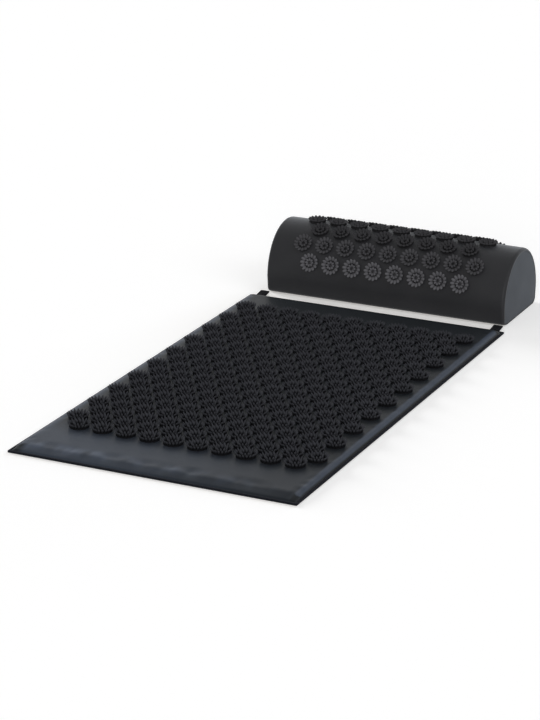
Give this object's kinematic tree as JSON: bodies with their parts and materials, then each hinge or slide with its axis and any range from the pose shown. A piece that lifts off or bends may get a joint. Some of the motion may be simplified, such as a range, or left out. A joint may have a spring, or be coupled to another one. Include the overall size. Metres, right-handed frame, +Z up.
{
  "type": "acupressure mat and neck pillow",
  "caption": "Padded floor mat with staggered rows of spiked plastic rosettes, and a separate half-round neck pillow that carries the same rosettes.",
  "frame": {"origin": "centre of the mat's underside, on the floor", "axes": "+X across the mat to the right, +Y from the mat's foot to its head and the pillow, +Z up"},
  "size_m": [0.434, 0.9345, 0.1134],
  "materials": {
    "mat_cloth": "satin woven cloth",
    "pillow_cloth": "satin woven cloth",
    "pillow_end_cloth": "matt woven cloth",
    "binding_cloth": "matt woven tape",
    "mat_rosette_plastic": "moulded, satin",
    "pillow_rosette_plastic": "moulded, satin",
    "webbing": "woven webbing",
    "foam": "open-cell foam",
    "zip_tape_cloth": "woven tape",
    "zip_coil_nylon": "satin",
    "zip_metal": "dark satin"
  },
  "bodies": {
    "mat": {"mat_top_panel": "mat_cloth", "mat_base_panel": "mat_cloth", "mat_foam_core": "foam", "mat_edge_binding": "binding_cloth", "mat_rosette_row_01": "mat_rosette_plastic", "mat_rosette_row_02": "mat_rosette_plastic", "mat_rosette_row_03": "mat_rosette_plastic", "mat_rosette_row_04": "mat_rosette_plastic", "mat_rosette_row_05": "mat_rosette_plastic", "mat_rosette_row_06": "mat_rosette_plastic", "mat_rosette_row_07": "mat_rosette_plastic", "mat_rosette_row_08": "mat_rosette_plastic", "mat_rosette_row_09": "mat_rosette_plastic", "mat_rosette_row_10": "mat_rosette_plastic", "mat_rosette_row_11": "mat_rosette_plastic", "mat_rosette_row_12": "mat_rosette_plastic", "mat_rosette_row_13": "mat_rosette_plastic", "mat_rosette_row_14": "mat_rosette_plastic", "mat_rosette_row_15": "mat_rosette_plastic", "mat_rosette_row_16": "mat_rosette_plastic", "mat_rosette_row_17": "mat_rosette_plastic", "mat_rosette_row_18": "mat_rosette_plastic", "mat_rosette_row_19": "mat_rosette_plastic", "mat_rosette_row_20": "mat_rosette_plastic"},
    "mat_tab_left": {"mat_tab_left": "webbing"},
    "mat_tab_right": {"mat_tab_right": "webbing"},
    "pillow": {"pillow_wrap_panel": "pillow_cloth", "pillow_base_panel": "pillow_cloth", "pillow_end_panel_left": "pillow_end_cloth", "pillow_end_panel_right": "pillow_end_cloth", "pillow_foam_core": "foam", "pillow_rosette_row_1": "pillow_rosette_plastic", "pillow_rosette_row_2": "pillow_rosette_plastic", "pillow_rosette_row_3": "pillow_rosette_plastic", "pillow_rosette_row_4": "pillow_rosette_plastic", "pillow_rosette_row_5": "pillow_rosette_plastic", "pillow_rosette_row_6": "pillow_rosette_plastic", "pillow_rosette_row_7": "pillow_rosette_plastic", "pillow_zip_tape_upper": "zip_tape_cloth", "pillow_zip_tape_lower": "zip_tape_cloth", "pillow_zip_coil": "zip_coil_nylon"},
    "pillow_zip_slider": {"pillow_zip_slider": "zip_metal"},
    "pillow_zip_pull": {"pillow_zip_pull": "zip_metal"}
  },
  "joints": [
    {"name": "pillow_lift", "type": "slide", "parent": "mat", "child": "pillow", "axis": [0, 0, 1], "range_m": [0, 0.15]},
    {"name": "mat_tab_left_fold", "type": "hinge", "parent": "mat", "child": "mat_tab_left", "pos_m": [-0.2, 0.3778, 0.0032], "axis": [1, 0, 0], "range_deg": [0, 140]},
    {"name": "mat_tab_right_fold", "type": "hinge", "parent": "mat", "child": "mat_tab_right", "pos_m": [0.2, 0.3778, 0.0032], "axis": [1, 0, 0], "range_deg": [0, 140]},
    {"name": "pillow_zip_slide", "type": "slide", "parent": "pillow", "child": "pillow_zip_slider", "axis": [1, 0, 0], "range_m": [0, 0.264]},
    {"name": "pillow_zip_pull_swing", "type": "hinge", "parent": "pillow_zip_slider", "child": "pillow_zip_pull", "pos_m": [-0.1301, 0.55457, 0.016], "axis": [0, 0.0982, 0.9952], "range_deg": [0, 170]}
  ]
}
